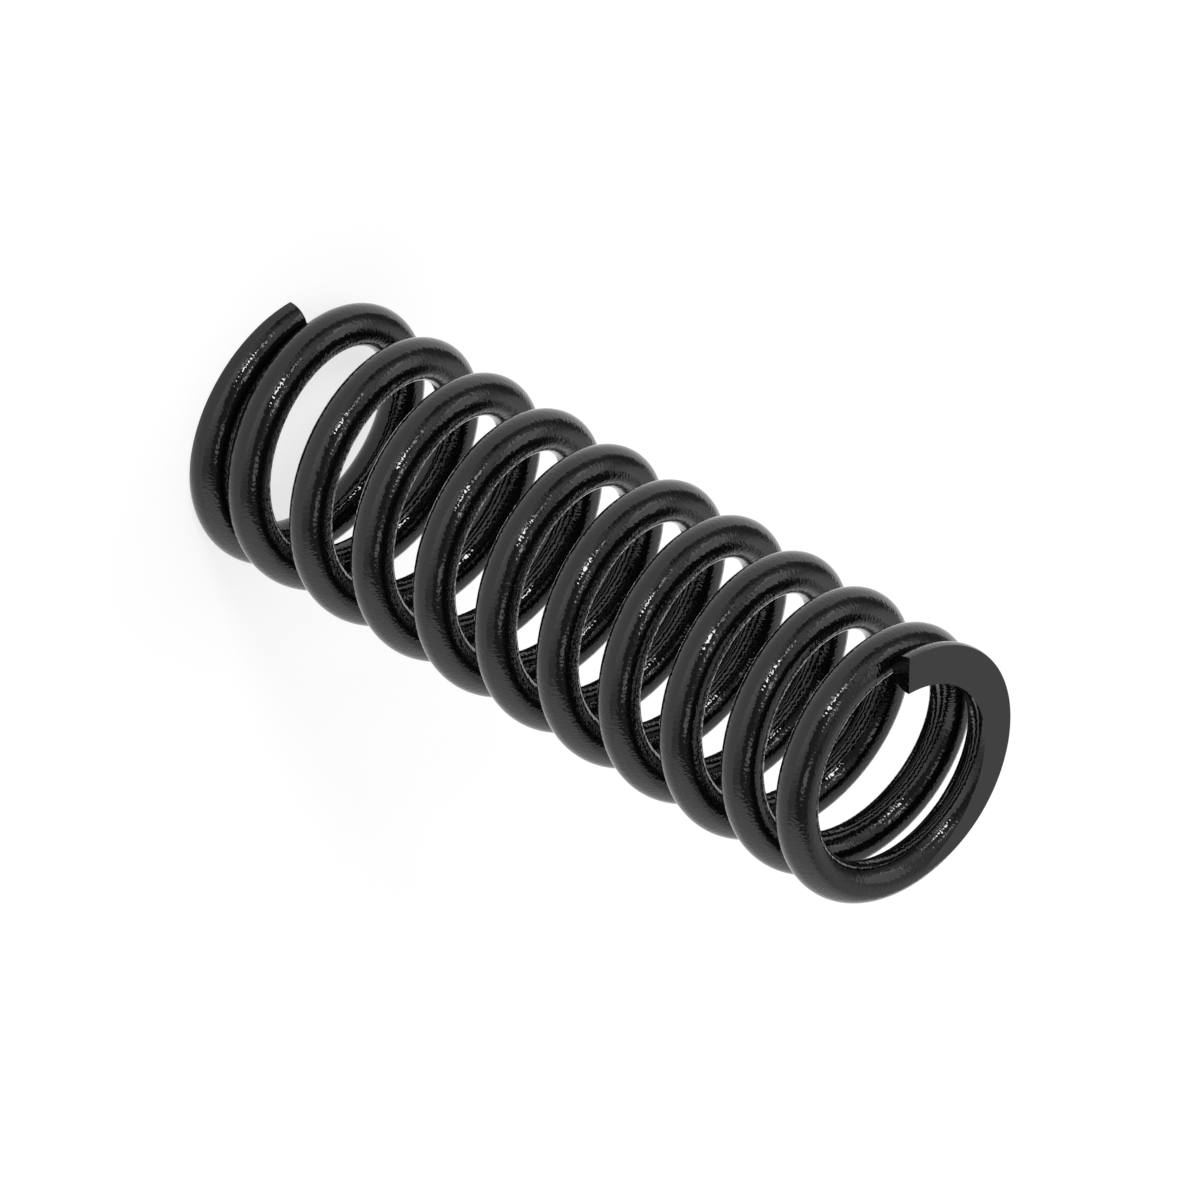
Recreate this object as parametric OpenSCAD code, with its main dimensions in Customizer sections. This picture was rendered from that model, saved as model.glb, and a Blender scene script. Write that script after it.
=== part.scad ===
// Helical compression spring, closed and ground at both ends.
// One round wire is wound right-handed about the Z axis. The first and last turns lie
// close against their neighbours, and are ground flat so that the spring stands square.
// The spring stands on its lower ground face at z = 0. Both tips of the wire point to +X.

/* [Coil] */
// Outside diameter of the coil
outer_diameter = 25.4; // [22:0.1:40]
// Diameter of the round wire
wire_diameter = 3.75; // [2.5:0.05:4.5]
// Length of the unloaded spring, from one ground face to the other
free_length = 75.7; // [60:0.1:120]
// Number of active coils, which close up under load
active_coils = 9; // [5:1:10]

/* [Ends] */
// Number of closed coils at each end
closed_coils = 1; // [1:1:2]
// Gap that is left between a closed coil and the coil beside it
tip_gap = 0.06; // [0.04:0.01:0.3]
// Thickness that the grinding leaves at each tip of the wire
tip_thickness = 1.96; // [1.2:0.02:2.4]
// Part of a turn in which the closed pitch opens out to the active pitch
transition_turns = 0.2; // [0.1:0.02:0.4]

/* [Facets] */
// Number of flats around the wire
wire_sides = 16; // [8:4:20]
// Most triangles that the wire's surface may have, which sets the number of rings along it
triangle_budget = 11400; // [7000:200:12000]

/* [Hidden] */

wire_radius = wire_diameter / 2;
mean_radius = outer_diameter / 2 - wire_radius;
total_coils = active_coils + 2 * closed_coils;

// The closed pitch is along the axis, and the gap is square to the wire, which slopes a little
closed_slope = (wire_diameter + tip_gap) / (2 * PI * mean_radius);
closed_pitch = (wire_diameter + tip_gap) * sqrt(1 + closed_slope * closed_slope);

// Height of the wire's centre at the lower tip, above the ground face
tip_height = tip_thickness - wire_radius;
closed_height = tip_height + closed_coils * closed_pitch;
active_pitch = (free_length - 2 * closed_height) / active_coils;

// A multiple of four puts a ring on each axis, so that the outside diameter is true
rings_per_turn = 4 * floor(triangle_budget / (2 * wire_sides * total_coils) / 4);
ring_count = rings_per_turn * total_coils + 1;

// The slabs that stand for the grinding wheel are wider than the coil and thicker than the wire
slab_width = 2 * outer_diameter;
slab_thickness = 2 * wire_diameter;

// Share of the change of pitch that is over by a number of turns before or past its middle
function pitch_change(turns) = min(max(turns / transition_turns + 0.5, 0), 1);

// The turns by which a wire that changes pitch there has gained on one that does not
function turns_gained(turns) =
    abs(turns) < transition_turns / 2
        ? pow(turns + transition_turns / 2, 2) / (2 * transition_turns)
        : max(turns, 0);

// Pitch of the wire at a number of turns from the lower tip
function wire_pitch(turns) =
    closed_pitch + (active_pitch - closed_pitch)
        * (pitch_change(turns - closed_coils) - pitch_change(turns - closed_coils - active_coils));

// Height of the wire's centre at a number of turns from the lower tip
function wire_height(turns) =
    tip_height + closed_pitch * turns + (active_pitch - closed_pitch)
        * (turns_gained(turns - closed_coils) - turns_gained(turns - closed_coils - active_coils));

// Point on the wire's surface, at an angle around the wire from its outermost line
function wire_point(turns, angle) =
    let (
        turn_angle = 360 * turns,
        lead_angle = atan(wire_pitch(turns) / (2 * PI * mean_radius)),
        reach = mean_radius + wire_radius * cos(angle),
        back = wire_radius * sin(angle) * sin(lead_angle),
        rise = wire_radius * sin(angle) * cos(lead_angle)
    )
    [
        reach * cos(turn_angle) + back * sin(turn_angle),
        reach * sin(turn_angle) - back * cos(turn_angle),
        wire_height(turns) + rise
    ];

// Place in the list of points, which holds one ring after another
function point_at(ring, side) = ring * wire_sides + side % wire_sides;

// The whole wire as it is wound, before its ends are ground, with both tips cut square
module wound_wire() {
    points = [
        for (ring = [0 : ring_count - 1])
            for (side = [0 : wire_sides - 1])
                wire_point(ring / rings_per_turn, 360 * side / wire_sides)
    ];
    skin = [
        for (ring = [0 : ring_count - 2])
            for (side = [0 : wire_sides - 1])
                each [
                    [point_at(ring, side), point_at(ring + 1, side), point_at(ring + 1, side + 1)],
                    [point_at(ring, side), point_at(ring + 1, side + 1), point_at(ring, side + 1)]
                ]
    ];
    lower_tip = [for (side = [0 : wire_sides - 1]) point_at(0, side)];
    upper_tip = [for (side = [wire_sides - 1 : -1 : 0]) point_at(ring_count - 1, side)];
    polyhedron(points = points, faces = concat(skin, [lower_tip, upper_tip]));
}

// What the grinding takes away beyond one end
module grinding_slab() {
    translate([-slab_width / 2, -slab_width / 2, 0])
        cube([slab_width, slab_width, slab_thickness]);
}

// The finished spring in its black coating
module coil_spring() {
    color("#1c1c1d")
        difference() {
            wound_wire();
            translate([0, 0, -slab_thickness])
                grinding_slab();
            translate([0, 0, free_length])
                grinding_slab();
        }
}

coil_spring();
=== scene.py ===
# %% [markdown]
# # A black compression spring
# The spring is one round steel wire, wound into a right-hand coil. Its first and last turns are
# closed up against their neighbours and ground flat, and the whole wire has a glossy black finish.
# This lesson makes the wire with Geometry Nodes, grinds its ends with a mesh cut, and then gives
# most of its care to the finish and to what the finish reflects.

# %% Load the frame
import math

import bmesh
import bpy
from mathutils import Matrix, Vector


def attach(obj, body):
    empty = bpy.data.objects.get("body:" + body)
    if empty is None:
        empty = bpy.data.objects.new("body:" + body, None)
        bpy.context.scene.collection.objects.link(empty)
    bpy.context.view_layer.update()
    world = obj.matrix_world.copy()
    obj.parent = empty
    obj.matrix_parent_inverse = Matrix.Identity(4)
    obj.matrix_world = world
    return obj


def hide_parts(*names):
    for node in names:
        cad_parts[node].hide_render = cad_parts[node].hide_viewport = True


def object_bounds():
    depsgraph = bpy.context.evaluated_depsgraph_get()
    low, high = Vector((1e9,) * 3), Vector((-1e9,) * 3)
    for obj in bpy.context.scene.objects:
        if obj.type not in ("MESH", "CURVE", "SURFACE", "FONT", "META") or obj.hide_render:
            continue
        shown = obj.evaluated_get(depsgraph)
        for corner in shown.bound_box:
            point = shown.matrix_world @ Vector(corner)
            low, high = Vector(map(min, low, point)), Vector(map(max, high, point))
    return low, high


MM = 0.001

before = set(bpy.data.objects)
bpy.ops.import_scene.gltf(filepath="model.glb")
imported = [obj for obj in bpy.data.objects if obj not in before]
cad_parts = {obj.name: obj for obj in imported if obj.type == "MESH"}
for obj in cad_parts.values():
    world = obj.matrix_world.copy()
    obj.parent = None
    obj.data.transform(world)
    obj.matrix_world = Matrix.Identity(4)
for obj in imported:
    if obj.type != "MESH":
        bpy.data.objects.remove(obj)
cad_low, cad_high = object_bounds()
print("CAD box in mm:", [round(size / MM, 2) for size in cad_high - cad_low])

# %% [markdown]
# ## Sizes
# The outside diameter and the free length come from the frame's own box, so the coil always fits
# it. The wire, the number of coils and the form of the ends are the spring's other driving sizes.
# The pitch is what is left over: the length without the closed turns, shared by the active coils.

# %% Driving sizes, in metres and turns
outer_diameter = cad_high.x - cad_low.x
free_length = cad_high.z - cad_low.z
wire_diameter = 3.75 * MM
tip_gap = 0.06 * MM
tip_thickness = 1.96 * MM
active_coils = 9
closed_coils = 1
transition_turns = 0.2
wire_sides = 48
rings_per_turn = 120

wire_radius = wire_diameter / 2
coil_radius = outer_diameter / 2 - wire_radius
coil_centre = (cad_low + cad_high) / 2
closed_slope = (wire_diameter + tip_gap) / (2 * math.pi * coil_radius)
closed_pitch = (wire_diameter + tip_gap) * math.hypot(1, closed_slope)
tip_height = tip_thickness - wire_radius
active_pitch = (free_length - 2 * (tip_height + closed_coils * closed_pitch)) / active_coils
print(f"active pitch {active_pitch / MM:.3f} mm, closed pitch {closed_pitch / MM:.3f} mm")

# %% [markdown]
# ## The wound wire
# A spring is a rule and not a sculpture: the wire climbs by one pitch in each turn. Blender can
# make a coil with the Screw modifier, but that has one pitch all the way. Here a Geometry Nodes
# tree works out the height at every point, so that the pitch opens from the closed turns to the
# active ones, and Curve to Mesh then sweeps a circle along the line.

# %% Small helpers for node trees
def feed(tree, socket, value):
    """Link a socket to another one, or set its value."""
    if isinstance(value, bpy.types.NodeSocket):
        tree.links.new(value, socket)
    else:
        socket.default_value = value


def add_node(tree, kind, inputs=None, **settings):
    """Add a node, set its own settings, and feed its inputs by name or place."""
    node = tree.nodes.new(kind)
    for setting, value in settings.items():
        setattr(node, setting, value)
    for place, value in (inputs or {}).items():
        feed(tree, node.inputs[place], value)
    return node


def add_math(tree, operation, *values):
    """Add a Math node and give back its result."""
    places = dict(enumerate(values))
    return add_node(tree, "ShaderNodeMath", places, operation=operation).outputs[0]


# %% A group for the change of pitch
def add_sockets(tree, direction, sockets):
    """Give a node group its named inputs or outputs."""
    for name, kind in sockets.items():
        tree.interface.new_socket(name, in_out=direction, socket_type=kind)


def make_turns_gained():
    """The turns by which a wire that changes pitch at turn zero gains on one that does not."""
    tree = bpy.data.node_groups.new("turns_gained", "GeometryNodeTree")
    add_sockets(tree, "INPUT", {"Turns": "NodeSocketFloat", "Transition": "NodeSocketFloat"})
    add_sockets(tree, "OUTPUT", {"Gained": "NodeSocketFloat"})
    given = add_node(tree, "NodeGroupInput").outputs
    half = add_math(tree, "MULTIPLY", given["Transition"], 0.5)
    inside = add_math(tree, "ADD", given["Turns"], half)
    inside = add_math(tree, "MINIMUM", add_math(tree, "MAXIMUM", inside, 0.0), given["Transition"])
    squared = add_math(tree, "MULTIPLY", inside, inside)
    eased = add_math(tree, "DIVIDE", squared, given["Transition"])
    eased = add_math(tree, "MULTIPLY", eased, 0.5)
    beyond = add_math(tree, "MAXIMUM", add_math(tree, "SUBTRACT", given["Turns"], half), 0.0)
    add_node(tree, "NodeGroupOutput", {"Gained": add_math(tree, "ADD", eased, beyond)})
    return tree


turns_gained = make_turns_gained()
print("made the group", turns_gained.name)

# %% The tree that winds the wire
WIRE_INPUTS = {
    "Coil Radius": "NodeSocketFloat",
    "Wire Radius": "NodeSocketFloat",
    "Closed Pitch": "NodeSocketFloat",
    "Active Pitch": "NodeSocketFloat",
    "Tip Height": "NodeSocketFloat",
    "Closed Coils": "NodeSocketFloat",
    "Active Coils": "NodeSocketFloat",
    "Transition": "NodeSocketFloat",
    "Rings per Turn": "NodeSocketInt",
    "Wire Sides": "NodeSocketInt",
    "Finish": "NodeSocketMaterial",
}


def wire_height(tree, given, turns):
    """The height of the wire's centre at a number of turns from its lower tip."""
    def gained(start):
        from_start = add_math(tree, "SUBTRACT", turns, start)
        inputs = {"Turns": from_start, "Transition": given["Transition"]}
        return add_node(tree, "GeometryNodeGroup", inputs, node_tree=turns_gained).outputs["Gained"]

    last_change = add_math(tree, "ADD", given["Closed Coils"], given["Active Coils"])
    open_turns = add_math(tree, "SUBTRACT", gained(given["Closed Coils"]), gained(last_change))
    extra_pitch = add_math(tree, "SUBTRACT", given["Active Pitch"], given["Closed Pitch"])
    closed_rise = add_math(tree, "MULTIPLY", turns, given["Closed Pitch"])
    open_rise = add_math(tree, "MULTIPLY", open_turns, extra_pitch)
    return add_math(tree, "ADD", add_math(tree, "ADD", closed_rise, open_rise), given["Tip Height"])


def make_wound_wire():
    """A tree that winds a round wire about the Z axis, from named sizes."""
    tree = bpy.data.node_groups.new("wound_wire", "GeometryNodeTree")
    add_sockets(tree, "INPUT", WIRE_INPUTS)
    add_sockets(tree, "OUTPUT", {"Geometry": "NodeSocketGeometry"})
    given = add_node(tree, "NodeGroupInput").outputs
    both_ends = add_math(tree, "ADD", given["Closed Coils"], given["Closed Coils"])
    total_coils = add_math(tree, "ADD", both_ends, given["Active Coils"])
    segments = add_math(tree, "MULTIPLY", total_coils, given["Rings per Turn"])
    line = add_node(tree, "GeometryNodeCurvePrimitiveLine").outputs[0]
    points = add_math(tree, "ADD", segments, 1.0)
    line = add_node(tree, "GeometryNodeResampleCurve", {"Curve": line, "Count": points}).outputs[0]

    index = add_node(tree, "GeometryNodeInputIndex").outputs[0]
    turns = add_math(tree, "DIVIDE", index, given["Rings per Turn"])
    angle = add_math(tree, "MULTIPLY", turns, 2 * math.pi)
    place = add_node(tree, "ShaderNodeCombineXYZ", {
        "X": add_math(tree, "MULTIPLY", given["Coil Radius"], add_math(tree, "COSINE", angle)),
        "Y": add_math(tree, "MULTIPLY", given["Coil Radius"], add_math(tree, "SINE", angle)),
        "Z": wire_height(tree, given, turns),
    }).outputs[0]
    moved = {"Geometry": line, "Position": place}
    coil = add_node(tree, "GeometryNodeSetPosition", moved).outputs[0]
    coil = add_node(tree, "GeometryNodeSetCurveNormal", {"Curve": coil}, mode="Z_UP").outputs[0]

    section = add_node(tree, "GeometryNodeCurvePrimitiveCircle", {
        "Resolution": given["Wire Sides"],
        "Radius": given["Wire Radius"],
    }).outputs[0]
    wire = add_node(tree, "GeometryNodeCurveToMesh", {
        "Curve": coil,
        "Profile Curve": section,
        "Fill Caps": True,
    }).outputs[0]
    wire = add_node(tree, "GeometryNodeRealizeInstances", {"Geometry": wire}).outputs[0]
    coated = {"Geometry": wire, "Material": given["Finish"]}
    wire = add_node(tree, "GeometryNodeSetMaterial", coated).outputs[0]
    add_node(tree, "NodeGroupOutput", {"Geometry": wire})
    return tree


# %% Wind the wire
black_finish = bpy.data.materials.new("black_gloss_coat")
wire_values = {
    "Coil Radius": coil_radius,
    "Wire Radius": wire_radius,
    "Closed Pitch": closed_pitch,
    "Active Pitch": active_pitch,
    "Tip Height": cad_low.z + tip_height,
    "Closed Coils": float(closed_coils),
    "Active Coils": float(active_coils),
    "Transition": transition_turns,
    "Rings per Turn": rings_per_turn,
    "Wire Sides": wire_sides,
    "Finish": black_finish,
}


def wind_wire(name):
    """Run the tree once and keep what it makes as a plain mesh object."""
    carrier = bpy.data.objects.new(name, bpy.data.meshes.new(name))
    bpy.context.scene.collection.objects.link(carrier)
    modifier = carrier.modifiers.new("wound_wire", "NODES")
    modifier.node_group = make_wound_wire()
    for item in modifier.node_group.interface.items_tree:
        if item.in_out == "INPUT":
            modifier[item.identifier] = wire_values[item.name]
    evaluated = carrier.evaluated_get(bpy.context.evaluated_depsgraph_get())
    wound = bpy.data.meshes.new_from_object(evaluated)
    carrier.modifiers.remove(modifier)
    carrier.data = wound
    return carrier


spring = wind_wire("spring_coil")
print("wound wire:", len(spring.data.vertices), "vertices,", len(spring.data.polygons), "faces")

# %% [markdown]
# ## Grinding the ends
# On the real spring a wheel takes off about half of the wire's thickness at each tip, which leaves
# a flat crescent that runs out after about half a turn. A Boolean would do it, but bisecting the
# mesh by a plane is quicker and gives a clean rim. The flat faces are marked in an attribute, so
# that the finish can treat them apart, and their rims are marked sharp so that the shading stays
# crisp.

# %% Cut both ends flat
GROUND_SMOOTHNESS = 1.0
TIP_SMOOTHNESS = 0.5
QUAD_CORNERS = 4
# Only the ground faces and the tips have more corners than this
FEW_CORNERS = wire_sides // 4


def mark_flat(faces, layer, smoothness):
    """Shade faces flat inside a sharp rim, and mark for the finish how smooth they are."""
    for face in faces:
        face.smooth = False
        face[layer] = smoothness
        for edge in face.edges:
            edge.smooth = False


def grind_end(mesh, layer, level, outward):
    """Remove all of the wire beyond a level and close the cut with flat faces."""
    everything = mesh.verts[:] + mesh.edges[:] + mesh.faces[:]
    cut = bmesh.ops.bisect_plane(
        mesh, geom=everything, plane_co=(0, 0, level), plane_no=(0, 0, outward), clear_outer=True
    )
    rim = [item for item in cut["geom_cut"] if isinstance(item, bmesh.types.BMEdge)]
    filled = bmesh.ops.holes_fill(mesh, edges=rim)["faces"]
    for face in filled:
        face.normal_update()
        if face.normal.z * outward < 0:
            face.normal_flip()
    mark_flat(filled, layer, GROUND_SMOOTHNESS)
    return sum(face.calc_area() for face in filled)


def finish_ends(mesh_data):
    """Grind both ends, shade the wire smooth and split the flat faces into triangles."""
    mesh = bmesh.new()
    mesh.from_mesh(mesh_data)
    layer = mesh.faces.layers.float.new("flat_face")
    for face in mesh.faces:
        face.smooth = True
    lower = grind_end(mesh, layer, cad_low.z, -1)
    upper = grind_end(mesh, layer, cad_high.z, 1)
    tips = [face for face in mesh.faces if len(face.verts) > FEW_CORNERS and face[layer] == 0]
    mark_flat(tips, layer, TIP_SMOOTHNESS)
    many_sided = [face for face in mesh.faces if len(face.verts) > QUAD_CORNERS]
    bmesh.ops.triangulate(mesh, faces=many_sided)
    open_edges = sum(not edge.is_manifold for edge in mesh.edges)
    mesh.to_mesh(mesh_data)
    mesh.free()
    return lower, upper, open_edges


lower_area, upper_area, open_edges = finish_ends(spring.data)
print(f"ground faces: {lower_area / MM**2:.1f} and {upper_area / MM**2:.1f} mm2")
print("open edges:", open_edges)

# %% [markdown]
# ## The black finish
# The wire has a thin, deep black coat with a high gloss. Seen close up it is not quite level: a
# fine pebble, finer than a grain of sand, breaks every reflection into short ragged strokes and
# every highlight into sparks. The colour is close to black, so almost all that the eye sees is
# the reflection. The pebble is a bump from one fine noise, drawn out along the coil's axis, so that
# on the outside of the wire its strokes run across the wire. The gloss varies a little from place
# to place. The ground faces are smooth, and the cut tips of the wire have half of the pebble.

# %% The coat's texture as a group
# The pebble's grains in a metre across the coil, and the share of them along X, Y and Z
PEBBLE_PER_METRE = 4200.0
PEBBLE_STRETCH = (1.0, 1.0, 0.4)
PEBBLE_DETAIL = 0.0
MOTTLE_PER_METRE = 260.0
MOTTLE_DETAIL = 4.0


def make_coat_texture():
    """A group that puts out the coat's height, and a mottle for its colour and gloss."""
    tree = bpy.data.node_groups.new("coat_texture", "ShaderNodeTree")
    add_sockets(tree, "INPUT", {"Place": "NodeSocketVector", "Flat Face": "NodeSocketFloat"})
    add_sockets(tree, "OUTPUT", {"Height": "NodeSocketFloat", "Mottle": "NodeSocketFloat"})
    given = add_node(tree, "NodeGroupInput").outputs
    factors = {0: given["Place"], 1: PEBBLE_STRETCH}
    stretched = add_node(tree, "ShaderNodeVectorMath", factors, operation="MULTIPLY")
    pebble = add_node(tree, "ShaderNodeTexNoise", {
        "Vector": stretched.outputs["Vector"],
        "Scale": PEBBLE_PER_METRE,
        "Detail": PEBBLE_DETAIL,
    })
    mottle = add_node(tree, "ShaderNodeTexNoise", {
        "Vector": given["Place"],
        "Scale": MOTTLE_PER_METRE,
        "Detail": MOTTLE_DETAIL,
    })
    wire_skin = add_math(tree, "SUBTRACT", 1.0, given["Flat Face"])
    add_node(tree, "NodeGroupOutput", {
        "Height": add_math(tree, "MULTIPLY", pebble.outputs["Fac"], wire_skin),
        "Mottle": mottle.outputs["Fac"],
    })
    return tree


coat_texture = make_coat_texture()
print("made the group", coat_texture.name)

# %% The coat's material
DEEP_BLACK = (0.0010, 0.0010, 0.0011, 1.0)
GREYER_BLACK = (0.0030, 0.0030, 0.0031, 1.0)
GLOSSY_ROUGHNESS = 0.03
DULLER_ROUGHNESS = 0.06
COAT_INDEX = 1.5
PEBBLE_HEIGHT = 0.027 * MM


def paint_black(material):
    """Build the black finish from the texture group and one Principled shader."""
    material.use_nodes = True
    tree = material.node_tree
    tree.nodes.clear()
    place = add_node(tree, "ShaderNodeTexCoord").outputs["Object"]
    flat = add_node(tree, "ShaderNodeAttribute", attribute_name="flat_face").outputs["Fac"]
    inputs = {"Place": place, "Flat Face": flat}
    texture = add_node(tree, "ShaderNodeGroup", inputs, node_tree=coat_texture)
    colours = add_node(tree, "ShaderNodeValToRGB", {"Fac": texture.outputs["Mottle"]})
    colours.color_ramp.elements[0].color = DEEP_BLACK
    colours.color_ramp.elements[1].color = GREYER_BLACK
    roughness = add_node(tree, "ShaderNodeMapRange", {
        "Value": texture.outputs["Mottle"],
        "To Min": GLOSSY_ROUGHNESS,
        "To Max": DULLER_ROUGHNESS,
    }).outputs["Result"]
    pebble = add_node(tree, "ShaderNodeBump", {
        "Height": texture.outputs["Height"],
        "Distance": PEBBLE_HEIGHT,
    }).outputs["Normal"]
    shader = add_node(tree, "ShaderNodeBsdfPrincipled", {
        "Base Color": colours.outputs["Color"],
        "Roughness": roughness,
        "IOR": COAT_INDEX,
        "Normal": pebble,
    }).outputs["BSDF"]
    add_node(tree, "ShaderNodeOutputMaterial", {"Surface": shader})


paint_black(black_finish)
print("painted", black_finish.name, "with", len(black_finish.node_tree.nodes), "nodes")

# %% [markdown]
# ## Putting the piece in the frame
# The wound wire stands for the CAD solid of the same spring. It rides on the part's one body, and
# it keeps the solid's size and place.

# %% Stand the coil in for its CAD solid
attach(spring, "root")
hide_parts("coil_spring")
print("pieces:", spring.name, "for coil_spring")

# %% [markdown]
# ## The floor
# The spring stands on a plain floor that fills the picture with white. To make a floor white by
# lamps alone would put too much light on the spring. So this floor is a pale grey that also glows,
# for the camera and for mirror-like rays only, just enough to reach white. The rest of its light
# is reflected light, so the spring's soft shadow stays on it.

# %% Make the floor
FLOOR_WIDTH = 6.0
FLOOR_COLOUR = (0.35, 0.35, 0.35, 1.0)
FLOOR_GLOW = 0.74


def make_floor():
    """A large square at the foot of the spring."""
    half = FLOOR_WIDTH / 2
    level = cad_low.z
    square = ((-half, -half), (half, -half), (half, half), (-half, half))
    mesh = bpy.data.meshes.new("studio_floor")
    mesh.from_pydata([(x, y, level) for x, y in square], [], [(0, 1, 2, 3)])
    floor = bpy.data.objects.new("studio_floor", mesh)
    bpy.context.scene.collection.objects.link(floor)
    return floor


def paint_floor(material):
    """A matt grey that glows up to white for the rays that show it as a background."""
    material.use_nodes = True
    tree = material.node_tree
    tree.nodes.clear()
    rays = add_node(tree, "ShaderNodeLightPath").outputs
    shown = add_math(tree, "MAXIMUM", rays["Is Camera Ray"], rays["Is Glossy Ray"])
    shown = add_math(tree, "MAXIMUM", shown, rays["Is Transmission Ray"])
    strength = add_math(tree, "MULTIPLY", shown, FLOOR_GLOW)
    glow = add_node(tree, "ShaderNodeEmission", {"Strength": strength})
    matt = add_node(tree, "ShaderNodeBsdfDiffuse", {"Color": FLOOR_COLOUR})
    both = add_node(tree, "ShaderNodeAddShader", {0: matt.outputs[0], 1: glow.outputs[0]})
    add_node(tree, "ShaderNodeOutputMaterial", {"Surface": both.outputs[0]})


floor = make_floor()
floor.data.materials.append(bpy.data.materials.new("floor_white"))
paint_floor(floor.data.materials[0])
print("floor at z =", round(cad_low.z, 5))

# %% [markdown]
# ## The studio
# A glossy black thing looks like what stands around it. This studio is a pale tent with a dark
# window in its roof, where the lamps and the camera look in: the tent's walls give the grey sheen,
# and the window gives the deep black bands along the wire, with edges that the pebble makes ragged.
# The tent is drawn on the world by direction alone, which is simpler than hanging real sheets. Each
# piece of it is a mask that fades from one to nothing, and lays its own brightness over the rest.
# Their places and levels come from the object itself: each band along the wire mirrors one of them.

# %% Masks for the pieces of the tent
def add_fade(tree, value, start, stop):
    """A mask that rises smoothly from nothing at one value to one at another."""
    return add_node(tree, "ShaderNodeMapRange", {
        "Value": value,
        "From Min": start,
        "From Max": stop,
    }, interpolation_type="SMOOTHSTEP").outputs["Result"]


def add_facing(tree, looking, direction):
    """How far a direction faces another one: the cosine of the angle between them."""
    places = {0: looking, 1: Vector(direction).normalized()}
    return add_node(tree, "ShaderNodeVectorMath", places, operation="DOT_PRODUCT").outputs["Value"]


def add_round_mask(tree, looking, direction, middle, edge):
    """A round patch, even out to one angle and gone at another, both in degrees."""
    angle = add_math(tree, "ARCCOSINE", add_facing(tree, looking, direction))
    return add_fade(tree, angle, math.radians(edge), math.radians(middle))


def add_edged_mask(tree, looking, edges, softness):
    """A patch inside several edges, each the direction it faces and the least cosine to that."""
    mask = 1.0
    for direction, least in edges:
        facing = add_facing(tree, looking, direction)
        inside = add_fade(tree, facing, least - softness / 2, least + softness / 2)
        mask = add_math(tree, "MULTIPLY", inside, mask)
    return mask


def add_layer(tree, mask, under, over):
    """Lay one brightness over another where the mask is one."""
    places = {"Factor": mask, "A": under, "B": over}
    return add_node(tree, "ShaderNodeMix", places).outputs["Result"]


def add_patches(tree, looking, level, patches):
    """Lay round patches over a brightness, one after another."""
    for direction, middle, edge, light in patches.values():
        mask = add_round_mask(tree, looking, direction, middle, edge)
        level = add_layer(tree, mask, level, light)
    return level


# %% Draw the tent on the world
# Brightness is one for white paper. Each round patch has its direction from the spring, the
# half-widths of its even middle and of its soft edge in degrees, and its brightness.
TENT_LIGHT = 0.50
WALL_PATCHES = {
    "right_wall": ((0.57, -0.65, 0.50), 28, 36, 1.42),
    "right_roof": ((-0.10, -0.24, 0.97), 35, 81, 0.61),
    "left_wall": ((0.69, 0.72, -0.10), 1, 73, 1.60),
    "back_wall": ((-0.91, 0.36, 0.19), 28, 53, 1.18),
    "front_roof": ((0.63, -0.17, 0.76), 8, 19, 1.25),
    "far_corner": ((-0.58, -0.58, 0.58), 10, 22, 0.75),
}
PANELS = {
    "side_panel": ((0.38, -0.69, 0.62), 12, 14, 2.29),
    "upper_panel": ((0.19, -0.70, 0.69), 15, 21, 1.33),
    "far_panel": ((-0.08, 0.41, 0.91), 7, 11, 1.79),
    "roof_sheen": ((0.41, -0.03, 0.91), 3, 34, 0.76),
}
# The window's edges, as places on a roof one metre above the spring
WINDOW_X = (-0.70, 2.02)
WINDOW_Y = (-0.22, 1.37)
WINDOW_SOFTNESS = 0.08
WINDOW_LIGHT = 0.22
# A dark seam runs low along the right wall: the sines of its heights, the direction of its middle,
# and the least cosine to that
SEAM_HEIGHTS = (-0.01, 0.37)
SEAM_SOFTNESS = 0.57
SEAM_DIRECTION = (0.48, -0.88, 0.0)
SEAM_REACH = 0.63
SEAM_END_SOFTNESS = 0.18
SEAM_LIGHT = 0.05
WHITE = (1.0, 1.0, 1.0, 1.0)


def make_tent():
    """A world whose brightness depends on direction alone."""
    world = bpy.data.worlds.new("light_tent")
    world.use_nodes = True
    tree = world.node_tree
    tree.nodes.clear()
    looking = add_node(tree, "ShaderNodeTexCoord").outputs["Generated"]
    level = add_patches(tree, looking, TENT_LIGHT, WALL_PATCHES)
    window_edges = [
        ((1, 0, -WINDOW_X[0]), 0.0),
        ((-1, 0, WINDOW_X[1]), 0.0),
        ((0, 1, -WINDOW_Y[0]), 0.0),
        ((0, -1, WINDOW_Y[1]), 0.0),
    ]
    window = add_edged_mask(tree, looking, window_edges, WINDOW_SOFTNESS)
    level = add_layer(tree, window, level, WINDOW_LIGHT)
    low, high = SEAM_HEIGHTS
    seam = add_edged_mask(tree, looking, [((0, 0, 1), low), ((0, 0, -1), -high)], SEAM_SOFTNESS)
    ends = add_edged_mask(tree, looking, [(SEAM_DIRECTION, SEAM_REACH)], SEAM_END_SOFTNESS)
    level = add_layer(tree, add_math(tree, "MULTIPLY", seam, ends), level, SEAM_LIGHT)
    level = add_patches(tree, looking, level, PANELS)
    light = add_node(tree, "ShaderNodeBackground", {"Color": WHITE, "Strength": level})
    add_node(tree, "ShaderNodeOutputWorld", {"Surface": light.outputs[0]})
    return world


bpy.context.scene.world = make_tent()
print("tent with", len(WALL_PATCHES) + len(PANELS), "patches and a window in its roof")

# %% [markdown]
# ## The lamps
# Four small round lamps shine in through the window. They add little to the light in the tent, but
# each is much brighter than its walls, so the coat throws them back as sparks. Each lamp is set by
# its direction, its apparent size and its brightness, and its power follows from these: a lamp's
# power in watts is its brightness times its area times pi.

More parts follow.
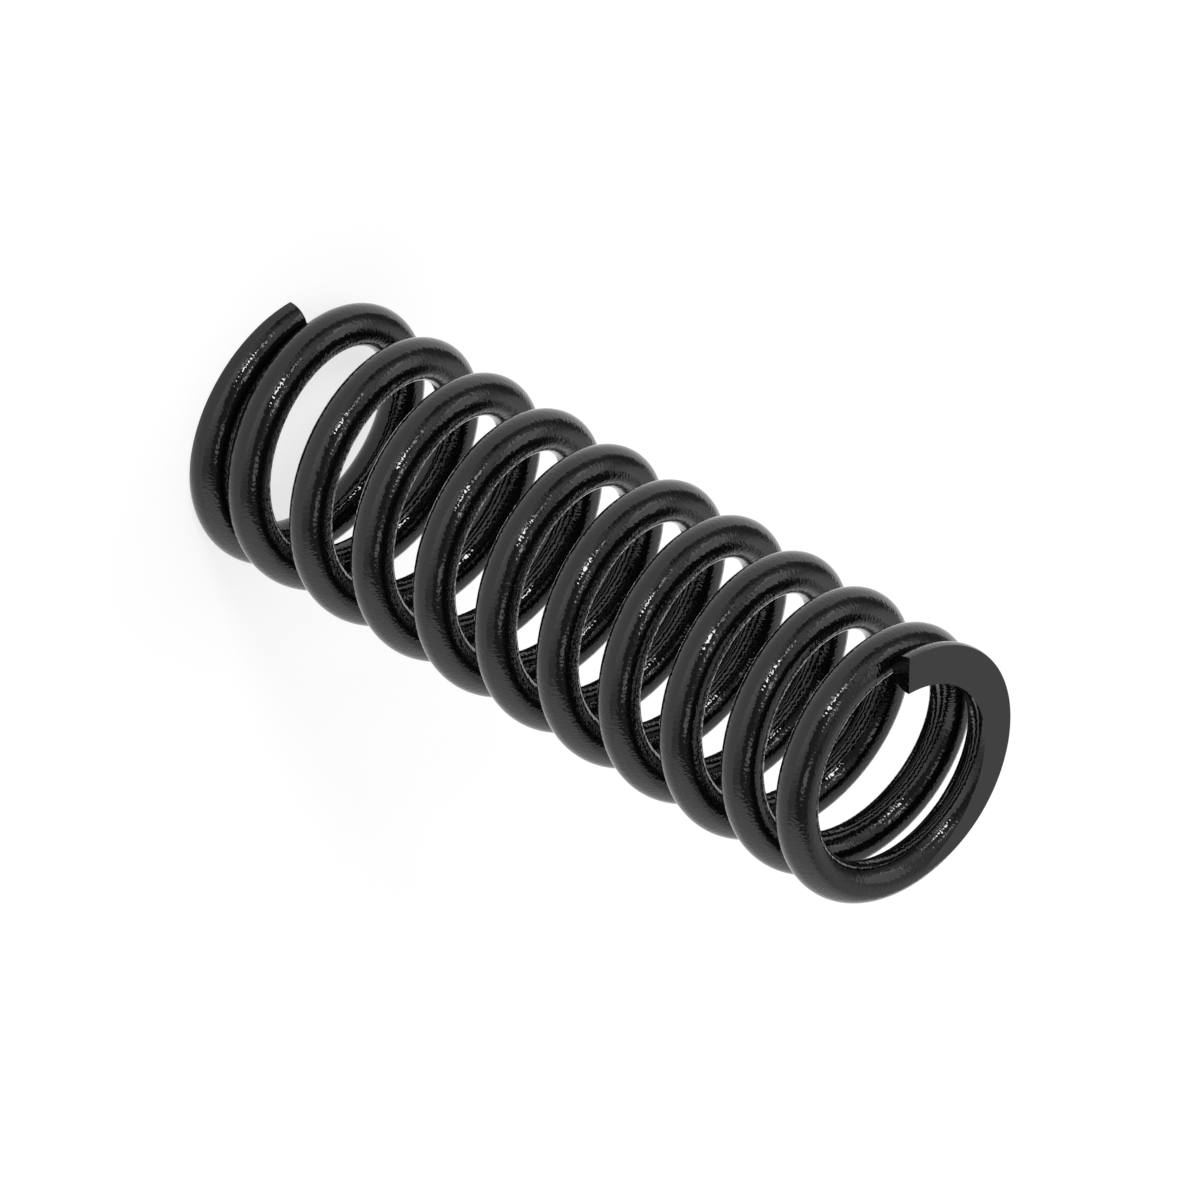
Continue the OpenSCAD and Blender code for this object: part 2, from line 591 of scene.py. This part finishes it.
# %% Hang the lamps
LAMP_DISTANCE = 2.0
# Each lamp: direction from the spring, apparent half-width in degrees, and brightness
LAMPS = {
    "key_lamp": ((0.779, 0.286, 0.557), 5.8, 22.0),
    "right_lamp": ((0.819, -0.020, 0.574), 5.4, 5.0),
    "upper_lamp": ((0.432, 0.122, 0.894), 5.0, 5.0),
    "left_lamp": ((0.867, 0.365, 0.341), 4.4, 3.5),
}


def hang_lamp(name, direction, half_width, brightness):
    """A round lamp that faces the middle of the spring."""
    towards = Vector(direction).normalized()
    radius = LAMP_DISTANCE * math.tan(math.radians(half_width))
    lamp = bpy.data.lights.new(name, "AREA")
    lamp.shape = "DISK"
    lamp.size = 2 * radius
    lamp.energy = brightness * math.pi * (math.pi * radius**2)
    holder = bpy.data.objects.new(name, lamp)
    holder.location = coil_centre + LAMP_DISTANCE * towards
    holder.rotation_euler = towards.to_track_quat("Z", "Y").to_euler()
    bpy.context.scene.collection.objects.link(holder)
    return lamp.energy


for lamp_name, lamp_values in LAMPS.items():
    print(lamp_name, f"{hang_lamp(lamp_name, *lamp_values):.3f} W")

# %% [markdown]
# ## The camera
# The view is parallel and isometric: it looks down the diagonal of a cube whose edges are the X, Y
# and Z axes. The picture's upright is the X axis and not the Z axis, so the standing spring appears
# to lie with its axis across the picture.

# %% Set the camera
PICTURE_WIDTH = 103.83 * MM
CAMERA_DISTANCE = 0.5
FAR_CLIP = 20.0


def make_camera():
    """A parallel camera on the cube's diagonal, with +X upright in the picture."""
    backwards = Vector((1, 1, 1)).normalized()
    upright = (Vector((1, 0, 0)) - backwards * backwards.x).normalized()
    across = upright.cross(backwards)
    lens = bpy.data.cameras.new("isometric_camera")
    lens.type = "ORTHO"
    lens.ortho_scale = PICTURE_WIDTH
    lens.clip_end = FAR_CLIP
    camera = bpy.data.objects.new("isometric_camera", lens)
    turn = Matrix((across, upright, backwards)).transposed().to_4x4()
    camera.matrix_world = Matrix.Translation(coil_centre + CAMERA_DISTANCE * backwards) @ turn
    bpy.context.scene.collection.objects.link(camera)
    return camera


bpy.context.scene.camera = make_camera()
bpy.context.scene.view_settings.view_transform = "Standard"
print(f"the picture is {PICTURE_WIDTH / MM:.1f} mm wide")
